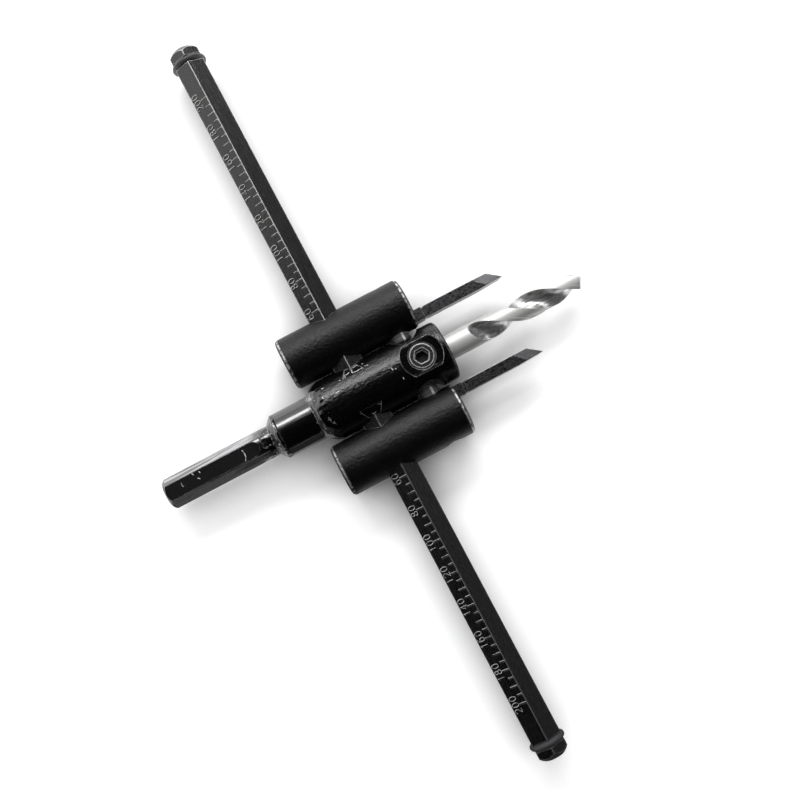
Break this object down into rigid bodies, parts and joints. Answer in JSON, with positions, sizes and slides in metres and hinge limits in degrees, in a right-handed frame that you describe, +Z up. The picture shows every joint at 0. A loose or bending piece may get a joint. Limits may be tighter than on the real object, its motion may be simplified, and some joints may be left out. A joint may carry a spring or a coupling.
{
  "type": "adjustable circle cutter",
  "caption": "Drill-mounted circle cutter: hex-shank arbor, graduated hexagonal cross bar, sliding tool carriers with steel blades, and a twist pilot drill.",
  "frame": {"origin": "centre of the shank's end face, on the tool's axis of rotation", "axes": "+X along the tool's axis from the shank to the drill's point, +Y along the cross bar, +Z up when the tool lies on its side"},
  "size_m": [0.1333, 0.228, 0.018],
  "materials": {
    "black_oxide_steel": "turned steel, oiled black oxide, glossy",
    "black_oxide_bar": "drawn hexagonal steel, black oxide, satin",
    "ring_rubber": "black nitrile rubber, satin",
    "blade_steel": "hardened tool steel, dark, ground",
    "screw_steel": "alloy steel, worn black oxide",
    "drill_steel": "high-speed steel, bright, ground"
  },
  "bodies": {
    "frame": {"arbor": "black_oxide_steel", "scale_bar": "black_oxide_bar", "stop_ring_a": "ring_rubber", "stop_ring_b": "ring_rubber"},
    "carrier_a": {"carrier_a": "black_oxide_steel"},
    "carrier_b": {"carrier_b": "black_oxide_steel"},
    "blade_a": {"blade_a": "blade_steel"},
    "blade_b": {"blade_b": "blade_steel"},
    "blade_screw_a": {"blade_screw_a": "screw_steel"},
    "blade_screw_b": {"blade_screw_b": "screw_steel"},
    "bar_lock_screw_a": {"bar_lock_screw_a": "screw_steel"},
    "bar_lock_screw_b": {"bar_lock_screw_b": "screw_steel"},
    "pilot_drill": {"pilot_drill": "drill_steel"},
    "drill_clamp_screw": {"drill_clamp_screw": "screw_steel"}
  },
  "joints": [
    {"name": "carrier_a_slide", "type": "slide", "parent": "frame", "child": "carrier_a", "axis": [0, 1, 0], "range_m": [0, 0.083]},
    {"name": "carrier_b_slide", "type": "slide", "parent": "frame", "child": "carrier_b", "axis": [0, -1, 0], "range_m": [0, 0.083]},
    {"name": "blade_a_slide", "type": "slide", "parent": "carrier_a", "child": "blade_a", "axis": [1, 0, 0], "range_m": [-0.001, 0.005]},
    {"name": "blade_b_slide", "type": "slide", "parent": "carrier_b", "child": "blade_b", "axis": [1, 0, 0], "range_m": [-0.001, 0.005]},
    {"name": "blade_screw_a_turn", "type": "hinge", "parent": "carrier_a", "child": "blade_screw_a", "pos_m": [0.079, 0.0088, 0], "axis": [0, -1, 0], "range_deg": [0, 450]},
    {"name": "blade_screw_b_turn", "type": "hinge", "parent": "carrier_b", "child": "blade_screw_b", "pos_m": [0.079, -0.0088, 0], "axis": [0, 1, 0], "range_deg": [0, 450]},
    {"name": "bar_lock_screw_a_turn", "type": "hinge", "parent": "carrier_a", "child": "bar_lock_screw_a", "pos_m": [0.0527, 0.0171, 0], "axis": [-1, 0, 0], "range_deg": [0, 450]},
    {"name": "bar_lock_screw_b_turn", "type": "hinge", "parent": "carrier_b", "child": "bar_lock_screw_b", "pos_m": [0.0527, -0.0171, 0], "axis": [-1, 0, 0], "range_deg": [0, 450]},
    {"name": "pilot_drill_slide", "type": "slide", "parent": "frame", "child": "pilot_drill", "axis": [1, 0, 0], "range_m": [0, 0.018]},
    {"name": "drill_clamp_screw_turn", "type": "hinge", "parent": "frame", "child": "drill_clamp_screw", "pos_m": [0.0814, 0, 0], "axis": [0, 0.1045, 0.9945], "range_deg": [0, 450]}
  ]
}
